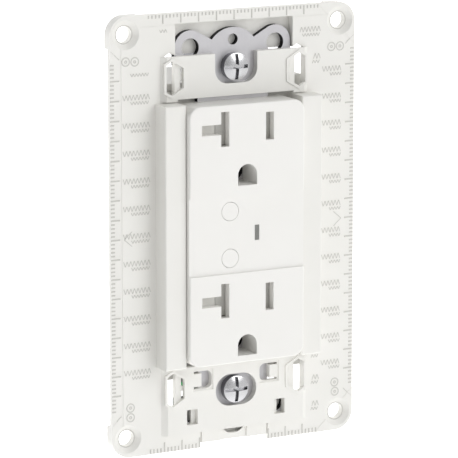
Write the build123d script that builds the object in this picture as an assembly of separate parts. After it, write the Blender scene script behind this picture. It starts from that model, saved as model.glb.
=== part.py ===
from build123d import *
import math
import os

# Duplex decorator outlet on a steel strap, held in a plastic mounting sub-plate.
# Millimetres. X to the right, Z up, Y into the wall. The wall surface is Y = 0,
# and the origin is midway between the two device mounting screws.
# A "front" is the lower Y of a piece and a "back" is the higher one.

# Sub-plate
PLATE_WIDTH = 69.6
PLATE_HEIGHT = 112.4
PLATE_CORNER_R = 5.0
PLATE_FRONT = -3.0
FLANGE_THICKNESS = 1.2
CORNER_INSET_X = 4.45
CORNER_INSET_Z = 4.8
CORNER_PAD_WIDTH = 8.2
CORNER_HOLE_R = 2.1
CORNER_SINK_R = 3.7
CORNER_SINK_DEPTH = 1.1
RULER_STRIP_WIDTH = 3.15
RULER_STRIP_DEPTH = 0.1
STRIP_END_CUT = 11.0
BAND_RAISE = 1.0
BAND_SLOPE = 1.4
FLOOR_THICKNESS = 0.5
FLOOR_EDGE_ABOVE_SCREW = 3.6
RAIL_WIDTH = 5.9
RAIL_FRONT = -8.6
RAIL_WALL = 1.2
RAIL_GAP = 0.12
RAIL_END_GAP = 0.4
WINDOW_WALL = 1.2
WINDOW_GAP_X = 0.2
WINDOW_GAP_Z = 2.0
BAND_GAP = 1.25
NOTCH_HALF_WIDTH = 6.0
NOTCH_BELOW_SCREW = 4.1
NOTCH_CORNER_R = 3.6
BAND_REACH = 10.1
SOCKET_WIDTH = 6.06
SOCKET_HEIGHT = 10.2
SOCKET_PEAK_SHIFT = 0.75
SOCKET_SLOPE = 0.59
SOCKET_WALL = 0.65
SOCKET_RIM_RAISE = 0.3
SOCKET_RIM_THICKNESS = 1.2
SOCKET_CLEAR = 1.2
SOCKET_CENTRE_X = 17.33
SOCKET_BELOW_SCREW = 1.8
SPINE_WIDTH = 1.55
SPINE_SHIFT = -1.05
SPINE_DROP = 0.6
SPINE_DEPTH = 2.4
SPINE_TAB = (0.5, 1.3)
OVAL_WIDTH = 11.8
OVAL_HEIGHT = 8.3
PRY_NOTCH_HALF_WIDTH = 9.75
PRY_NOTCH_DEPTH = 1.3
PRY_TAB = (3.7, 9.4)
PRY_DROP = 0.6
SCOOP_R = 3.8
SCOOP_DEPTH = 0.4
LATCH_RECESS_DEPTH = 0.25
EDGE_ROUND = 0.4

# Strap and its two device screws
STRAP_THICKNESS = 1.6
SCREW_SPACING = 83.3
SCREW_R = 1.75
SCREW_LENGTH = 24.0
SCREW_NECK_R = 1.6
WASHER_R = 3.3
WASHER_THICKNESS = 0.4
SCREW_HEAD_R = 3.5
SCREW_HEAD_SIDE = 1.9
SCREW_HEAD_DOME = 0.7
SCREW_SLOT = 0.9
SCREW_HOLE_GAP = 0.2
SCREW_CROSS = 6.5
EAR_R = 4.46
EAR_X = 12.03
EAR_ABOVE_SCREW = 5.27
EAR_HOLE_R = 2.42
EAR_NECK_RISE = 1.0
LOBE_R = 7.63
LOBE_ABOVE_SCREW = 2.2
WEB_ANGLE = 38.8
PILOT_HOLE_R = 1.39
PILOT_ABOVE_SCREW = 6.75
NECK_HALF_WIDTH = 10.0
SPINE_HALF_WIDTH = 3.4
RING_R = 5.8

# Face and outlets
FACE_WIDTH = 32.66
FACE_HEIGHT = 66.4
FACE_FRONT = -10.13
FACE_CORNER_R = 3.0
FACE_SKIN = 2.2
FACE_WALL = 1.8
ZONE_HALF_HEIGHT = 9.95
ZONE_DEPTH = 0.4
OUTLET_ROWS = {"upper": 27.07, "lower": -16.75}
BLADE_X = 6.35
BLADE_SLOT_WIDTH = 2.3
HOT_SLOT_HEIGHT = 7.1
NEUTRAL_SLOT_HEIGHT = 8.85
ARM_HEIGHT = 2.65
ARM_END_X = -12.9
GROUND_DROP = 12.0
GROUND_HOLE_R = 2.725
GROUND_HOLE_TAIL = 2.65
GROUND_WELL_WALL = 0.7

# Buttons and indicator
BUTTON_X = -4.75
BUTTON_Z = 6.0
BUTTON_R = 2.35
BUTTON_GAP = 0.1
BUTTON_FLANGE_R = 3.1
BUTTON_STEM_R = 1.4
BUTTON_TRAVEL = 1.3
LAMP_X = 2.9
LAMP_WINDOW = (1.3, 3.95)

# Rear body
HOUSING_WIDTH = 41.2
HOUSING_HEIGHT = 76.0
HOUSING_DEPTH = 27.5
HOUSING_WALL = 1.8
FIT = 0.1
PILLAR_INSET_X = 2.03
PILLAR_INSET_Z = 2.2
PILLAR_R = 1.7
LONG_SCREW_R = 1.2
CARRIER_FLOOR = 1.5
CARRIER_DEPTH = 10.0
CARRIER_WALL = 3.4
CARRIER_END_WALL = 4.4
BOARD_THICKNESS = 1.6
BOARD_STANDOFF = 2.5
BOARD_WIDTH = 28.0
BOARD_HEIGHT = 61.0

# Contacts and terminals
LEAF = 0.6
BLADE_GAP = 1.8
LEAF_HALF_HEIGHT = 2.7
LEAF_FRONT = -5.0
STRIP_THICKNESS = 1.0
GROUND_GAP = 4.8
GROUND_FOOT_HALF_WIDTH = 5.6
GROUND_FOOT_HALF_HEIGHT = 2.8
GROUND_LEAF_HALF_HEIGHT = 2.0
GROUND_LEAF_DEPTH = 5.5
TERMINAL_Z = 20.0
TERMINAL_SCREW_R = 1.9
TERMINAL_HEAD_R = 4.0
TERMINAL_HEAD = 2.2
TERMINAL_PLATE = 1.2
TERMINAL_HALF_WIDTH = 4.6

# Shutters
SHUTTER_THICKNESS = 1.1
SHUTTER_GAP = 0.15
SHUTTER_TRAVEL = 3.2
FLAG_HALF_HEIGHT = 4.2
GUIDE_THICKNESS = 1.0

# Trip mechanism
COIL_X = -6.0
COIL_R = 4.9
COIL_LENGTH = 14.0
COIL_LOW_Z = 8.0
YOKE_THICKNESS = 1.2
PLUNGER_R = 2.0
PLUNGER_TRAVEL = 2.5
POST_R = 1.0

# Levels worked out from the sizes above
FLANGE_BACK = PLATE_FRONT + FLANGE_THICKNESS
BAND_FRONT = PLATE_FRONT - BAND_RAISE
STRAP_BACK = -FLOOR_THICKNESS
STRAP_FRONT = STRAP_BACK - STRAP_THICKNESS
SCREW_Z = SCREW_SPACING / 2
HOLE_X = PLATE_WIDTH / 2 - CORNER_INSET_X
HOLE_Z = PLATE_HEIGHT / 2 - CORNER_INSET_Z
EAR_Z = SCREW_Z + EAR_ABOVE_SCREW
EAR_TOP = EAR_Z + EAR_R
EAR_SIDE = EAR_X + EAR_R
WINDOW_X = EAR_SIDE + WINDOW_GAP_X
WINDOW_TOP = EAR_TOP + WINDOW_GAP_Z
WINDOW_LOW = SCREW_Z + FLOOR_EDGE_ABOVE_SCREW
RAIL_IN = FACE_WIDTH / 2 + RAIL_GAP
RAIL_OUT = RAIL_IN + RAIL_WIDTH
RAIL_END = FACE_HEIGHT / 2 + RAIL_END_GAP
BAND_EDGE = FACE_HEIGHT / 2 + BAND_GAP
FACE_BACK = FACE_FRONT + FACE_SKIN
ZONE_FRONT = FACE_FRONT + ZONE_DEPTH
HOUSING_IN_X = HOUSING_WIDTH / 2 - HOUSING_WALL
HOUSING_IN_Z = HOUSING_HEIGHT / 2 - HOUSING_WALL
PILLAR_X = min(FACE_WIDTH / 2 - PILLAR_INSET_X, HOUSING_IN_X - PILLAR_R - 3 * FIT)
PILLAR_Z = min(FACE_HEIGHT / 2 - PILLAR_INSET_Z, HOUSING_IN_Z - PILLAR_R - 3 * FIT)
HOUSING_BACK = STRAP_BACK + HOUSING_DEPTH
HOUSING_FLOOR = HOUSING_BACK - HOUSING_WALL
CARRIER_BACK = STRAP_BACK + CARRIER_DEPTH
CARRIER_TOP = CARRIER_BACK - CARRIER_FLOOR
STRIP_FRONT = CARRIER_TOP - STRIP_THICKNESS
BOARD_FRONT = CARRIER_BACK + BOARD_STANDOFF
BOARD_BACK = BOARD_FRONT + BOARD_THICKNESS
SHUTTER_FRONT = FACE_BACK + SHUTTER_GAP
GUIDE_FRONT = SHUTTER_FRONT + SHUTTER_THICKNESS + SHUTTER_GAP
COIL_Y = HOUSING_FLOOR - YOKE_THICKNESS - COIL_R - 3 * FIT
COIL_HIGH_Z = COIL_LOW_Z + COIL_LENGTH
PILLARS = [(x, z) for x in (-PILLAR_X, PILLAR_X) for z in (-PILLAR_Z, PILLAR_Z)]


def slab(sketch, front, back):
    """Solid of a front-view outline between two depths."""
    return extrude(Plane.XZ.offset(-back) * sketch, amount=back - front)


def rect(x0, x1, z0, z1):
    """Front-view rectangle between two corners."""
    return Pos((x0 + x1) / 2, (z0 + z1) / 2) * Rectangle(x1 - x0, z1 - z0)


def disc(x, z, radius):
    return Pos(x, z) * Circle(radius)


def plate(x0, x1, front, back, z0, z1):
    """Box between two corners."""
    return slab(rect(x0, x1, z0, z1), front, back)


def rod(x, z, radius, front, back):
    """Round bar along the depth of the device."""
    return slab(disc(x, z, radius), front, back)


def side_rod(x0, x1, y, z, radius):
    """Round bar across the device."""
    return Pos((x0 + x1) / 2, y, z) * Rot(0, 90, 0) * Cylinder(radius, x1 - x0)


def upright_rod(x, y, z0, z1, radius):
    """Round bar up the device."""
    return Pos(x, y, (z0 + z1) / 2) * Cylinder(radius, z1 - z0)


def coil_spring(mean_r, wire_r, length, turns):
    """Open coil spring standing on Z = 0, its wire inside the length."""
    rise = length - 2 * wire_r
    path = Helix(pitch=rise / turns, height=rise, radius=mean_r)
    wire = Plane(origin=path @ 0, z_dir=path % 0) * Circle(wire_r)
    return Pos(0, 0, wire_r) * sweep(wire, path=path, is_frenet=True)


def save(name, shape):
    export_step(shape, f"parts/{name}.step")


def group(pieces):
    return Compound(children=list(pieces))


def four_way(sketch):
    """The outline in all four quarters of the plate."""
    both = sketch + mirror(sketch, about=Plane.YZ)
    return both + mirror(both, about=Plane.XZ)


# --- Mounting sub-plate: flange, rails, bands, sockets -----------------------

def socket_outline():
    """Six-sided outline of one cover socket, its peaks nearer the outer side."""
    half = SOCKET_WIDTH / 2
    top = SOCKET_HEIGHT / 2
    outer_top = top - (half - SOCKET_PEAK_SHIFT) * SOCKET_SLOPE
    inner_top = top - (half + SOCKET_PEAK_SHIFT) * SOCKET_SLOPE
    points = [
        (half, outer_top),
        (SOCKET_PEAK_SHIFT, top),
        (-half, inner_top),
        (-half, -inner_top),
        (SOCKET_PEAK_SHIFT, -top),
        (half, -outer_top),
    ]
    return make_face(Polyline(*points, close=True))


def cover_sockets():
    """Rims, openings and dividing spines of the four sockets for the cover's hooks."""
    place = Pos(SOCKET_CENTRE_X, SCREW_Z - SOCKET_BELOW_SCREW)
    rim = socket_outline()
    hole = offset(rim, amount=-SOCKET_WALL, kind=Kind.INTERSECTION)
    spine = Pos(SPINE_SHIFT, 0) * Rectangle(SPINE_WIDTH, SOCKET_HEIGHT)
    tab_width, tab_height = SPINE_TAB
    tab = Rectangle(tab_width, tab_height)
    spine += Pos(SPINE_SHIFT - (SPINE_WIDTH + tab_width) / 2, 0) * tab
    spine = rim & spine
    return four_way(place * rim), four_way(place * hole), four_way(place * spine)


def both_sides(sketch):
    return sketch + mirror(sketch, about=Plane.YZ)


def bottom_details(body):
    """Latch windows, hook holes and pry recess of the lower band."""
    top = -SCREW_Z + 5.8
    latch = rect(-9.85, -6.9, top - 4.6, top)
    latch = fillet(latch.vertices().sort_by(Axis.X)[-2:], 1.5)
    slits = rect(-12.05, -9.0, top - 0.6, top) + rect(-12.05, -9.0, top - 4.6, top - 4.0)
    recess = rect(-12.4, -6.6, top - 5.0, top + 0.35)
    body -= slab(both_sides(recess), BAND_FRONT, BAND_FRONT + LATCH_RECESS_DEPTH)
    body -= slab(both_sides(latch + slits), BAND_FRONT, STRAP_FRONT)

    low = -SCREW_Z - 3.95
    hook = rect(-14.15, -11.1, low - 3.95, low)
    shelf = rect(-12.4, -11.1, low - 3.95, low)
    body -= slab(both_sides(hook), BAND_FRONT, STRAP_FRONT)
    body += slab(both_sides(shelf), BAND_FRONT + 1.2, STRAP_FRONT)

    # notch in the lower edge for prying, with two tabs and a scoop above it
    edge = -PLATE_HEIGHT / 2
    reach = -SCREW_Z - BAND_REACH
    pry = rect(-PRY_NOTCH_HALF_WIDTH, PRY_NOTCH_HALF_WIDTH, edge, edge + PRY_NOTCH_DEPTH)
    body -= slab(pry, PLATE_FRONT, 0)
    drop = rect(-PRY_NOTCH_HALF_WIDTH, PRY_NOTCH_HALF_WIDTH, edge + PRY_NOTCH_DEPTH, reach)
    drop -= both_sides(rect(*PRY_TAB, edge, reach))
    body -= slab(drop, PLATE_FRONT, PLATE_FRONT + PRY_DROP)
    scoop = disc(0, reach + 2.0, SCOOP_R) & rect(-SCOOP_R, SCOOP_R, edge, reach)
    return body - slab(scoop, PLATE_FRONT, PLATE_FRONT + PRY_DROP + SCOOP_DEPTH)


def make_sub_plate():
    outline = RectangleRounded(PLATE_WIDTH, PLATE_HEIGHT, PLATE_CORNER_R)
    body = slab(outline, PLATE_FRONT, FLANGE_BACK)
    field = Rectangle(PLATE_WIDTH - 2 * RULER_STRIP_WIDTH, PLATE_HEIGHT - 2 * RULER_STRIP_WIDTH)
    side = STRIP_END_CUT * 2**0.5
    corner = Rotation(0, 0, 45) * Rectangle(side, side)
    corner = Pos(PLATE_WIDTH / 2, PLATE_HEIGHT / 2) * corner
    strips = outline - field - four_way(corner)
    body -= slab(strips, PLATE_FRONT, PLATE_FRONT + RULER_STRIP_DEPTH)
    pad_x = PLATE_WIDTH / 2 - CORNER_PAD_WIDTH
    pad_z = PLATE_HEIGHT / 2 - CORNER_PAD_WIDTH
    pads = outline & four_way(rect(pad_x, PLATE_WIDTH, pad_z, PLATE_HEIGHT))
    body += slab(pads, FLANGE_BACK, 0)

    # raised bands above and below the face, with sloping side edges
    rims, holes, spines = cover_sockets()
    band_x = RAIL_OUT - BAND_SLOPE
    reach = SCREW_Z + BAND_REACH
    for low, high in ((BAND_EDGE - 0.5, WINDOW_LOW), (-reach, -BAND_EDGE + 0.5)):
        band = plate(-band_x, band_x, BAND_FRONT, STRAP_FRONT, low, high)
        edges = band.edges().filter_by(Axis.Z).group_by(Axis.Y)[0]
        body += chamfer(edges, length=BAND_RAISE, length2=BAND_SLOPE)
    rim_front = BAND_FRONT - SOCKET_RIM_RAISE
    body += slab(rims, rim_front, STRAP_FRONT)

    # pocket behind the strap ears, closed at the back by a thin floor
    for side in (1, -1):
        ends = sorted((side * (WINDOW_LOW + FIT), side * (WINDOW_TOP + WINDOW_WALL)))
        inner = sorted((side * 0.0, side * WINDOW_TOP))
        wall_x = WINDOW_X + WINDOW_WALL
        box = plate(-wall_x, wall_x, STRAP_FRONT, 0, *ends)
        body += box
        body -= plate(-WINDOW_X, WINDOW_X, STRAP_FRONT, STRAP_BACK, *inner)
    body -= plate(-WINDOW_X, WINDOW_X, BAND_FRONT, STRAP_FRONT, WINDOW_LOW, WINDOW_TOP)

    # rails beside the face, hollow from behind
    rail = plate(RAIL_IN, RAIL_OUT, RAIL_FRONT, FLANGE_BACK, -RAIL_END, RAIL_END)
    rail = fillet(rail.faces().sort_by(Axis.Y)[0].edges(), EDGE_ROUND)
    core = plate(
        RAIL_IN + RAIL_WALL,
        RAIL_OUT - RAIL_WALL,
        RAIL_FRONT + RAIL_WALL,
        FLANGE_BACK,
        -RAIL_END + RAIL_WALL,
        RAIL_END - RAIL_WALL,
    )
    body += rail + mirror(rail, about=Plane.YZ)
    body -= core + mirror(core, about=Plane.YZ)

    # opening for the face
    body -= plate(-RAIL_IN, RAIL_IN, RAIL_FRONT, 0, -BAND_EDGE, BAND_EDGE)

    # notch for the upper device screw and oval for the lower one
    notch = rect(-NOTCH_HALF_WIDTH, NOTCH_HALF_WIDTH, SCREW_Z - NOTCH_BELOW_SCREW, WINDOW_LOW)
    notch = fillet(notch.vertices().sort_by(Axis.Y)[:2], NOTCH_CORNER_R)
    body -= slab(notch, BAND_FRONT, STRAP_FRONT)
    oval = Pos(0, -SCREW_Z) * SlotOverall(OVAL_WIDTH, OVAL_HEIGHT)
    body -= slab(oval, BAND_FRONT, STRAP_FRONT)

    # the sockets open into a wider space behind their rims, but not outward
    body -= slab(holes, rim_front, 0)
    outer = SOCKET_CENTRE_X + SOCKET_WIDTH / 2 - SOCKET_WALL
    clear = offset(rims, amount=SOCKET_CLEAR, kind=Kind.INTERSECTION)
    clear &= rect(-outer, outer, -PLATE_HEIGHT / 2, PLATE_HEIGHT / 2)
    body -= slab(clear, rim_front + SOCKET_RIM_THICKNESS, 0)
    spine_front = BAND_FRONT + SPINE_DROP
    body += slab(spines, spine_front, STRAP_FRONT)
    ear_low = SCREW_Z + EAR_NECK_RISE - FIT
    deep = spines & rect(-WINDOW_X, WINDOW_X, -ear_low, ear_low)
    body += slab(deep, STRAP_FRONT, spine_front + SPINE_DEPTH)
    body = bottom_details(body)

    # corner holes, each in a dished seat
    dish = Cone(CORNER_HOLE_R + 2 * FIT, CORNER_SINK_R, CORNER_SINK_DEPTH)
    for x in (-HOLE_X, HOLE_X):
        for z in (-HOLE_Z, HOLE_Z):
            body -= rod(x, z, CORNER_HOLE_R, PLATE_FRONT, 0)
            body -= Pos(x, PLATE_FRONT + CORNER_SINK_DEPTH / 2, z) * Rot(90, 0, 0) * dish
    save("sub_plate", body)


# --- Steel strap, device screws and their fibre washers ----------------------

GROUND_SCREW_X = -8.0
GROUND_TAB_HALF_WIDTH = 4.5
GROUND_TAB_DEPTH = 9.5
RIVET_X = 4.4
RIVET_R = 0.8
RIVET_HEAD_R = 1.2
RIVET_HEAD = 0.5


def ear_web(side):
    """Web whose edge falls from the top of an ear, as its tangent, to the middle lobe."""
    angle = math.radians(WEB_ANGLE)
    x = LOBE_R * math.cos(angle)
    z = SCREW_Z + LOBE_ABOVE_SCREW + LOBE_R * math.sin(angle)
    reach = math.hypot(EAR_X - x, EAR_Z - z)
    slope = math.atan2(EAR_Z - z, EAR_X - x) + math.asin(EAR_R / reach)
    run = math.sqrt(reach**2 - EAR_R**2)
    touch = (x + run * math.cos(slope), z + run * math.sin(slope))
    corners = [(0, SCREW_Z), (x, z), touch, (EAR_X, EAR_Z)]
    return make_face(Polyline(*[(side * a, b) for a, b in corners], close=True))


def make_strap():
    ears = rect(-EAR_SIDE, EAR_SIDE, SCREW_Z + EAR_NECK_RISE, EAR_Z)
    ears += disc(0, SCREW_Z + LOBE_ABOVE_SCREW, LOBE_R)
    for side in (-1, 1):
        ears += disc(side * EAR_X, EAR_Z, EAR_R)
        ears += ear_web(side)
    ears += rect(-NECK_HALF_WIDTH, NECK_HALF_WIDTH, FACE_HEIGHT / 2 - FACE_WALL, SCREW_Z + EAR_NECK_RISE)
    for x in (-EAR_X, EAR_X):
        ears -= disc(x, EAR_Z, EAR_HOLE_R)
    ears -= disc(0, SCREW_Z + PILOT_ABOVE_SCREW, PILOT_HOLE_R)
    ears -= disc(0, SCREW_Z, SCREW_R + SCREW_HOLE_GAP)
    outline = ears + mirror(ears, about=Plane.XZ)
    half = FACE_HEIGHT / 2 - FACE_WALL + 0.5
    outline += rect(-SPINE_HALF_WIDTH, SPINE_HALF_WIDTH, -half, half)
    outline += rect(-11.5, 11.5, -11.0, 11.0)
    outline -= rect(-8.2, 8.2, -9.4, 9.4)
    for row in OUTLET_ROWS.values():
        outline += disc(0, row - GROUND_DROP, RING_R)
    for row in OUTLET_ROWS.values():
        outline -= disc(0, row - GROUND_DROP, GROUND_HOLE_R + FIT)
        for x in (-RIVET_X, RIVET_X):
            outline -= disc(x, row - GROUND_DROP, RIVET_R + FIT)
    strap = slab(outline, STRAP_FRONT, STRAP_BACK)

    # tab bent back along the lower end of the housing for the ground screw
    low = -HOUSING_HEIGHT / 2
    tab = plate(
        GROUND_SCREW_X - GROUND_TAB_HALF_WIDTH,
        GROUND_SCREW_X + GROUND_TAB_HALF_WIDTH,
        STRAP_BACK - STRAP_THICKNESS,
        STRAP_BACK + GROUND_TAB_DEPTH,
        low - STRAP_THICKNESS - FIT,
        low - FIT,
    )
    axis_y = STRAP_BACK + GROUND_TAB_DEPTH / 2
    tab -= upright_rod(GROUND_SCREW_X, axis_y, low - 4, low, TERMINAL_SCREW_R + FIT)
    save("mounting_strap", strap + tab)


def make_ground_screw():
    low = -HOUSING_HEIGHT / 2 - FIT
    axis_y = STRAP_BACK + GROUND_TAB_DEPTH / 2
    seat = low - STRAP_THICKNESS
    head = upright_rod(GROUND_SCREW_X, axis_y, seat - TERMINAL_HEAD, seat, TERMINAL_HEAD_R)
    shank = upright_rod(GROUND_SCREW_X, axis_y, seat, low, TERMINAL_SCREW_R)
    slot = plate(
        GROUND_SCREW_X - TERMINAL_HEAD_R,
        GROUND_SCREW_X + TERMINAL_HEAD_R,
        axis_y - SCREW_SLOT / 2,
        axis_y + SCREW_SLOT / 2,
        seat - TERMINAL_HEAD,
        seat - TERMINAL_HEAD / 2,
    )
    save("ground_screw", head + shank - slot)


def make_device_screws():
    screws = []
    washers = []
    for z in (SCREW_Z, -SCREW_Z):
        rim = STRAP_FRONT - SCREW_HEAD_SIDE
        sphere_r = (SCREW_HEAD_R**2 + SCREW_HEAD_DOME**2) / (2 * SCREW_HEAD_DOME)
        head = rod(0, z, SCREW_HEAD_R, rim - SCREW_HEAD_DOME, STRAP_FRONT)
        head &= Pos(0, rim - SCREW_HEAD_DOME + sphere_r, z) * Sphere(sphere_r)
        upright = Pos(0, z) * Rectangle(SCREW_SLOT, SCREW_CROSS)
        level = Pos(0, z) * Rectangle(SCREW_CROSS, SCREW_SLOT)
        cross = slab(upright + level, rim - SCREW_HEAD_DOME, rim + SCREW_SLOT)
        thread_front = STRAP_BACK + WASHER_THICKNESS + FIT
        neck = rod(0, z, SCREW_NECK_R, STRAP_FRONT, thread_front)
        thread = rod(0, z, SCREW_R, thread_front, STRAP_FRONT + SCREW_LENGTH)
        screws.append(head - cross + neck + thread)
        washer = disc(0, z, WASHER_R) - disc(0, z, SCREW_NECK_R + FIT / 2)
        washers.append(slab(washer, STRAP_BACK, STRAP_BACK + WASHER_THICKNESS))
    save("device_mounting_screws", group(screws))
    save("screw_retaining_washers", group(washers))


# --- Face cover --------------------------------------------------------------

def hot_slot(row):
    half = HOT_SLOT_HEIGHT / 2
    return rect(BLADE_X - BLADE_SLOT_WIDTH / 2, BLADE_X + BLADE_SLOT_WIDTH / 2, row - half, row + half)


def neutral_slot(row):
    """T-shaped slot that takes an upright or a level neutral blade."""
    half = NEUTRAL_SLOT_HEIGHT / 2
    upright = rect(
        -BLADE_X - BLADE_SLOT_WIDTH / 2, -BLADE_X + BLADE_SLOT_WIDTH / 2, row - half, row + half
    )
    return upright + rect(ARM_END_X, -BLADE_X, row - ARM_HEIGHT / 2, row + ARM_HEIGHT / 2)


def ground_hole(row):
    z = row - GROUND_DROP
    return disc(0, z, GROUND_HOLE_R) + rect(-GROUND_HOLE_R, GROUND_HOLE_R, z - GROUND_HOLE_TAIL, z)


def lamp_outline(gap):
    return Pos(LAMP_X, 0) * Rectangle(LAMP_WINDOW[0] - 2 * gap, LAMP_WINDOW[1] - 2 * gap)


def make_face_cover():
    outline = RectangleRounded(FACE_WIDTH, FACE_HEIGHT, FACE_CORNER_R)
    core = RectangleRounded(
        FACE_WIDTH - 2 * FACE_WALL, FACE_HEIGHT - 2 * FACE_WALL, FACE_CORNER_R - FACE_WALL
    )
    cover = slab(outline, FACE_FRONT, STRAP_BACK)
    cover = fillet(cover.faces().sort_by(Axis.Y)[0].edges(), EDGE_ROUND)
    cover -= slab(core, FACE_BACK, STRAP_BACK)
    for x, z in PILLARS:
        cover += rod(x, z, PILLAR_R, FACE_BACK, STRAP_BACK)
        cover -= rod(x, z, LONG_SCREW_R + FIT / 2, FACE_BACK + 1.2, STRAP_BACK)
    half = FACE_HEIGHT / 2
    neck = NECK_HALF_WIDTH + 2 * FIT
    cover -= plate(-neck, neck, STRAP_FRONT, STRAP_BACK, -half, half)
    cover -= plate(-half, half, FACE_FRONT, ZONE_FRONT, -ZONE_HALF_HEIGHT, ZONE_HALF_HEIGHT)
    for row in OUTLET_ROWS.values():
        well = offset(ground_hole(row), amount=GROUND_WELL_WALL)
        cover += slab(well, FACE_BACK, STRAP_FRONT - FIT)
        openings = hot_slot(row) + neutral_slot(row) + ground_hole(row)
        cover -= slab(openings, FACE_FRONT, STRAP_BACK)
    for z in (BUTTON_Z, -BUTTON_Z):
        cover -= rod(BUTTON_X, z, BUTTON_R + BUTTON_GAP, FACE_FRONT, FACE_BACK)
    cover -= slab(lamp_outline(0), FACE_FRONT, FACE_BACK)
    save("face_cover", cover)


# --- Buttons, their springs and the light pipe -------------------------------

BUTTON_FLANGE_FRONT = FACE_BACK + 3 * FIT
BUTTON_FLANGE_BACK = BUTTON_FLANGE_FRONT + 1.0
BUTTON_SPRING_R = 2.3
BUTTON_SPRING_WIRE_R = 0.25
TOWER_TOP = STRAP_BACK + 1.4


def make_button(name, z, stem_back):
    button = rod(BUTTON_X, z, BUTTON_R, ZONE_FRONT, BUTTON_FLANGE_FRONT)
    button += rod(BUTTON_X, z, BUTTON_FLANGE_R, BUTTON_FLANGE_FRONT, BUTTON_FLANGE_BACK)
    button += rod(BUTTON_X, z, BUTTON_STEM_R, BUTTON_FLANGE_BACK, stem_back)
    save(f"{name}_button", button)

    # the spring is drawn at its pressed length, so it clears the tower below it
    length = TOWER_TOP - BUTTON_FLANGE_BACK - BUTTON_TRAVEL - 2 * FIT
    spring = coil_spring(BUTTON_SPRING_R, BUTTON_SPRING_WIRE_R, length, 5)
    save(f"{name}_button_spring", Pos(BUTTON_X, BUTTON_FLANGE_BACK, z) * Rot(-90, 0, 0) * spring)


def make_light_pipe():
    pipe = slab(lamp_outline(FIT / 2), ZONE_FRONT, BOARD_FRONT - 1.5)
    collar = Pos(LAMP_X, 0) * Rectangle(LAMP_WINDOW[0] + 1.6, LAMP_WINDOW[1] + 1.6)
    save("light_pipe", pipe + slab(collar, FACE_BACK, FACE_BACK + 0.8))
    lamp = plate(LAMP_X - 0.8, LAMP_X + 0.8, BOARD_FRONT - 1.3, BOARD_FRONT, -1.5, 1.5)
    save("indicator_lamp", lamp)


# --- Tamper-resistant shutters, their guides and springs ----------------------

FLAG_HALF_WIDTH = 1.65
GUIDE_WINDOW_HALF_HEIGHT = 3.4
SHUTTER_SPRING_STRIP = 0.2
SHUTTER_SPRING_FOLDS = 5
SHUTTER_SPRING_HALF_HEIGHT = 1.1
ARM_FLAP_HALF_HEIGHT = 1.9
ARM_FLAP_LAP = 0.4


def make_shutter(name, row):
    back = SHUTTER_FRONT + SHUTTER_THICKNESS
    flag = Pos(BLADE_X, row) * Rectangle(2 * FLAG_HALF_WIDTH, 2 * FLAG_HALF_HEIGHT)
    link = rect(-BLADE_X, BLADE_X, row - 2.0, row + 2.0)
    save(f"shutter_{name}", slab(both_sides(flag) + link, SHUTTER_FRONT, back))

    # spring drawn at its pressed length, between the hot flag and the side wall
    start = BLADE_X + FLAG_HALF_WIDTH
    end = FACE_WIDTH / 2 - FACE_WALL
    length = end - start - SHUTTER_TRAVEL - 2 * FIT
    pitch = length / SHUTTER_SPRING_FOLDS
    lift = SHUTTER_SPRING_STRIP * SHUTTER_SPRING_HALF_HEIGHT / pitch
    upper = []
    lower = []
    for fold in range(SHUTTER_SPRING_FOLDS + 1):
        x = start + fold * pitch
        z = row + SHUTTER_SPRING_HALF_HEIGHT * (1 if fold % 2 else -1)
        upper.append((x, z + lift))
        lower.append((x, z - lift))
    strip = make_face(Polyline(*upper, *reversed(lower), close=True))
    save(f"shutter_spring_{name}", slab(strip, SHUTTER_FRONT + FIT, back - FIT))

    # small shutter that closes the level arm of the neutral slot and drops to open it
    flap = rect(
        ARM_END_X - ARM_FLAP_LAP,
        -BLADE_X - FLAG_HALF_WIDTH - SHUTTER_GAP,
        row - ARM_FLAP_HALF_HEIGHT,
        row + ARM_FLAP_HALF_HEIGHT,
    )
    save(f"arm_shutter_{name}", slab(flap, SHUTTER_FRONT, back))

    half = FACE_WIDTH / 2 - FACE_WALL - FIT
    guide = rect(-half, half, row - 6.0, row + FLAG_HALF_HEIGHT)
    window = Pos(BLADE_X, row) * Rectangle(2 * FLAG_HALF_WIDTH, 2 * GUIDE_WINDOW_HALF_HEIGHT)
    guide -= both_sides(window)
    guide -= rect(ARM_END_X, -BLADE_X, row - 1.8, row + 1.8)
    for x, z in PILLARS:
        guide -= disc(x, z, PILLAR_R + FIT)
    save(f"shutter_guide_{name}", slab(guide, GUIDE_FRONT, GUIDE_FRONT + GUIDE_THICKNESS))


# --- Contacts -----------------------------------------------------------------

STRIP_ENDS = (
    OUTLET_ROWS["lower"] - LEAF_HALF_HEIGHT,
    OUTLET_ROWS["upper"] + LEAF_HALF_HEIGHT,
)


def make_hot_strip():
    strip = plate(9.2, 12.2, STRIP_FRONT, CARRIER_TOP, *STRIP_ENDS)
    strip += plate(11.2, 12.2, STRIP_FRONT, BOARD_FRONT, -1.5, 1.5)
    inner = BLADE_GAP / 2
    for row in OUTLET_ROWS.values():
        low = row - LEAF_HALF_HEIGHT
        high = row + LEAF_HALF_HEIGHT
        strip += plate(BLADE_X - inner - LEAF, 12.2, STRIP_FRONT, CARRIER_TOP, low, high)
        for side in (-1, 1):
            near = BLADE_X + side * inner
            ends = sorted((near, near + side * LEAF))
            strip += plate(*ends, LEAF_FRONT, STRIP_FRONT, low, high)
    save("hot_contact_strip", strip)


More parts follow.
